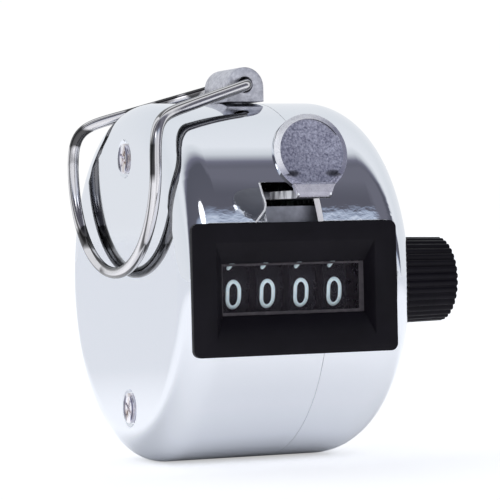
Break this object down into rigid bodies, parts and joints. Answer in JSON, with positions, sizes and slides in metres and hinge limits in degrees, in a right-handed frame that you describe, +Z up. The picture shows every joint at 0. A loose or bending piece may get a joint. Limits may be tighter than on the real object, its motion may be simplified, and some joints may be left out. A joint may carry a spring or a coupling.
{
  "type": "hand tally counter",
  "caption": "Round chromed hand tally counter with a windowed row of number wheels, a thumb lever on top, a ribbed reset knob at the side and a hinged wire finger ring.",
  "frame": {"origin": "middle of the casing drum, on its axis", "axes": "+X along the drum's axis towards the reset knob, -Y out of the window, +Z up to the ring lug"},
  "size_m": [0.0456, 0.0546, 0.0549],
  "materials": {
    "chrome": "bright chrome plate",
    "steel": "plain bright steel",
    "ring_wire": "polished nickel-plated wire",
    "zinc": "satin grey die-casting",
    "shield": "dull zinc-plated sheet",
    "black_plastic": "satin black moulding",
    "wheel_plastic": "matte black moulding",
    "brass": "plain brass",
    "nylon": "natural nylon",
    "clear": "clear plastic"
  },
  "bodies": {
    "case": {"main_casing": "chrome", "side_cover": "chrome", "window_frame": "black_plastic", "window_lens": "clear", "casing_screws": "steel", "cover_posts": "steel", "ring_lug": "zinc", "lug_washer": "steel", "frame_plate_left": "steel", "frame_plate_right": "steel", "frame_pillars": "steel", "spring_bridge": "steel", "lever_pivot_pin": "steel", "pivot_clips": "steel", "return_spring": "steel", "detent_spring": "steel", "knob_washer": "steel", "pinion_shaft": "steel"},
    "ring": {"finger_ring": "ring_wire"},
    "lever": {"thumb_lever": "chrome", "lever_shield": "shield", "pawl_pin": "steel", "pawl_spring": "steel"},
    "pawl": {"drive_pawl": "shield"},
    "knob": {"reset_shaft": "steel", "shaft_clip": "steel", "shaft_collar": "brass", "knob_bush": "brass", "reset_knob": "black_plastic"},
    "units": {"wheel_units": "wheel_plastic", "reset_pawl_units": "brass", "ratchet_wheel": "wheel_plastic"},
    "tens": {"wheel_tens": "wheel_plastic", "reset_pawl_tens": "brass"},
    "hundreds": {"wheel_hundreds": "wheel_plastic", "reset_pawl_hundreds": "brass"},
    "thousands": {"wheel_thousands": "wheel_plastic", "reset_pawl_thousands": "brass"},
    "carry_tens": {"pinion_tens": "nylon"},
    "carry_hundreds": {"pinion_hundreds": "nylon"},
    "carry_thousands": {"pinion_thousands": "nylon"}
  },
  "joints": [
    {"name": "ring_swing", "type": "hinge", "parent": "case", "child": "ring", "pos_m": [-0.00015, 0, 0.02745], "axis": [0, 1, 0], "range_deg": [-1.5, 205]},
    {"name": "lever_press", "type": "hinge", "parent": "case", "child": "lever", "pos_m": [0, 0.008, 0.0125], "axis": [1, 0, 0], "range_deg": [0, 4.8], "stiffness_Nm_per_rad": 0.35, "springref_deg": -6.88, "deforming": ["return_spring"]},
    {"name": "pawl_swing", "type": "hinge", "parent": "lever", "child": "pawl", "pos_m": [0.008, -0.016, 0.0088], "axis": [1, 0, 0], "range_deg": [-4.8, 0]},
    {"name": "knob_turn", "type": "hinge", "parent": "case", "child": "knob", "pos_m": [0, -0.0113, -0.0004], "axis": [-1, 0, 0], "continuous": true},
    {"name": "units_turn", "type": "hinge", "parent": "case", "child": "units", "pos_m": [0, -0.0113, -0.0004], "axis": [-1, 0, 0], "continuous": true},
    {"name": "tens_turn", "type": "hinge", "parent": "case", "child": "tens", "pos_m": [0, -0.0113, -0.0004], "axis": [-1, 0, 0], "continuous": true},
    {"name": "hundreds_turn", "type": "hinge", "parent": "case", "child": "hundreds", "pos_m": [0, -0.0113, -0.0004], "axis": [-1, 0, 0], "continuous": true},
    {"name": "thousands_turn", "type": "hinge", "parent": "case", "child": "thousands", "pos_m": [0, -0.0113, -0.0004], "axis": [-1, 0, 0], "continuous": true},
    {"name": "pinion_tens_turn", "type": "hinge", "parent": "case", "child": "carry_tens", "pos_m": [0, -0.0027, -0.00642], "axis": [-1, 0, 0], "continuous": true},
    {"name": "pinion_hundreds_turn", "type": "hinge", "parent": "case", "child": "carry_hundreds", "pos_m": [0, -0.0027, -0.00642], "axis": [-1, 0, 0], "continuous": true},
    {"name": "pinion_thousands_turn", "type": "hinge", "parent": "case", "child": "carry_thousands", "pos_m": [0, -0.0027, -0.00642], "axis": [-1, 0, 0], "continuous": true}
  ],
  "couplings": [
    {"joint": "pawl_swing", "follows": "lever_press", "ratio": -1},
    {"joint": "tens_turn", "follows": "units_turn", "ratio": 0.1},
    {"joint": "hundreds_turn", "follows": "units_turn", "ratio": 0.01},
    {"joint": "thousands_turn", "follows": "units_turn", "ratio": 0.001},
    {"joint": "pinion_tens_turn", "follows": "units_turn", "ratio": -0.25},
    {"joint": "pinion_hundreds_turn", "follows": "units_turn", "ratio": -0.025},
    {"joint": "pinion_thousands_turn", "follows": "units_turn", "ratio": -0.0025}
  ]
}
